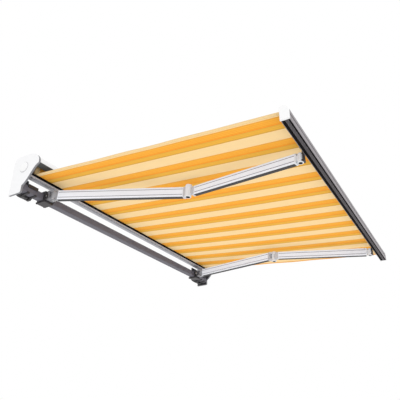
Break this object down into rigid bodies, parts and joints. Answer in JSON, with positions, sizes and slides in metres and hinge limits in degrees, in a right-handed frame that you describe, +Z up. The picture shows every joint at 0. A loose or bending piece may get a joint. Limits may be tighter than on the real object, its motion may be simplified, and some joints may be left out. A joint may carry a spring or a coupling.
{
  "type": "retractable awning",
  "caption": "Folding-arm awning with striped cloth, half cassette, square support bar, sprung arms and a front bar; the front bar rides out from the wall and folds back under the hood.",
  "frame": {"origin": "on the wall plane, midway along the width, level with the support bar's centre line", "axes": "+X along the width, +Y into the wall, +Z up; the awning runs out towards -Y"},
  "size_m": [1.977, 1.5559, 0.3228],
  "materials": {
    "white_plastic": "satin moulded",
    "white_coated": "powder coated white",
    "silver_profile": "silver anodised",
    "bar_grey": "powder coated mid grey",
    "cast_grey": "cast, coated grey",
    "dark_plastic": "moulded",
    "pin_steel": "turned",
    "zinc_steel": "zinc plated",
    "black_rubber": "matt",
    "awning_cloth": "woven acrylic, cream and orange stripes"
  },
  "bodies": {
    "wall_frame": {"arm_bracket_left": "cast_grey", "arm_bracket_right": "cast_grey", "arm_strap_left": "cast_grey", "arm_strap_right": "cast_grey", "brush_seal": "black_rubber", "canopy_fabric": "awning_cloth", "clamp_bolt_left": "zinc_steel", "clamp_bolt_right": "zinc_steel", "end_bracket_left": "cast_grey", "end_bracket_right": "cast_grey", "end_cover_left": "white_plastic", "end_cover_right": "white_plastic", "end_disc_left": "white_plastic", "end_disc_right": "white_plastic", "hood_profile": "white_coated", "idler_bearing": "pin_steel", "lower_profile": "silver_profile", "motor_head": "dark_plastic", "pitch_bolt_left": "zinc_steel", "pitch_bolt_right": "zinc_steel", "shoulder_cradle_left": "cast_grey", "shoulder_cradle_right": "cast_grey", "shoulder_pin_left": "pin_steel", "shoulder_pin_right": "pin_steel", "support_bar": "bar_grey", "tube_motor": "dark_plastic", "wall_bracket_left": "cast_grey", "wall_bracket_right": "cast_grey", "wall_clamp_left": "cast_grey", "wall_clamp_right": "cast_grey"},
    "left_upper_arm": {"arm_spring_left": "pin_steel", "elbow_fork_left": "cast_grey", "elbow_pin_left": "pin_steel", "shoulder_knuckle_left": "cast_grey", "upper_arm_left": "white_coated"},
    "left_forearm": {"elbow_knuckle_left": "cast_grey", "forearm_left": "white_coated", "hand_knuckle_left": "cast_grey"},
    "front_bar": {"front_cap_left": "white_plastic", "front_cap_right": "white_plastic", "front_profile": "silver_profile", "front_welt": "black_rubber", "hand_bracket_left": "cast_grey", "hand_bracket_right": "cast_grey", "hand_pin_left": "pin_steel"},
    "right_upper_arm": {"arm_spring_right": "pin_steel", "elbow_fork_right": "cast_grey", "elbow_pin_right": "pin_steel", "shoulder_knuckle_right": "cast_grey", "upper_arm_right": "white_coated"},
    "right_forearm": {"elbow_knuckle_right": "cast_grey", "forearm_right": "white_coated", "hand_knuckle_right": "cast_grey"},
    "roller": {"drive_wheel": "dark_plastic", "fabric_roll": "awning_cloth", "idler_plug": "zinc_steel", "motor_crown": "dark_plastic", "roller_tube": "zinc_steel"}
  },
  "joints": [
    {"name": "left_shoulder", "type": "hinge", "parent": "wall_frame", "child": "left_upper_arm", "pos_m": [-0.802, -0.14, 0.006], "axis": [0, -0.0854, 0.9963], "range_deg": [0, 71.2], "deforming": ["canopy_fabric"]},
    {"name": "left_elbow", "type": "hinge", "parent": "left_upper_arm", "child": "left_forearm", "pos_m": [-0.57107, -0.87419, -0.05694], "axis": [0, -0.0854, 0.9963], "range_deg": [-151.2, 0]},
    {"name": "left_hand", "type": "hinge", "parent": "left_forearm", "child": "front_bar", "pos_m": [-0.665, -1.50013, -0.1106], "axis": [0, -0.0854, 0.9963], "range_deg": [0, 80]},
    {"name": "right_shoulder", "type": "hinge", "parent": "wall_frame", "child": "right_upper_arm", "pos_m": [0.802, -0.14, 0.006], "axis": [0, -0.0854, 0.9963], "range_deg": [-71.3, 0]},
    {"name": "right_elbow", "type": "hinge", "parent": "right_upper_arm", "child": "right_forearm", "pos_m": [0.57107, -0.87419, -0.05694], "axis": [0, -0.0854, 0.9963], "range_deg": [0, 151.2]},
    {"name": "roller_spin", "type": "hinge", "parent": "wall_frame", "child": "roller", "pos_m": [0, -0.085, 0.126], "axis": [1, 0, 0], "range_deg": [0, 2160]}
  ],
  "couplings": [
    {"joint": "left_elbow", "follows": "left_shoulder", "ratio": -2.1233},
    {"joint": "left_hand", "follows": "left_shoulder", "ratio": 1.1233},
    {"joint": "right_shoulder", "follows": "left_shoulder", "ratio": -1},
    {"joint": "right_elbow", "follows": "left_shoulder", "ratio": 2.1233},
    {"joint": "roller_spin", "follows": "left_shoulder", "ratio": 30.31}
  ]
}
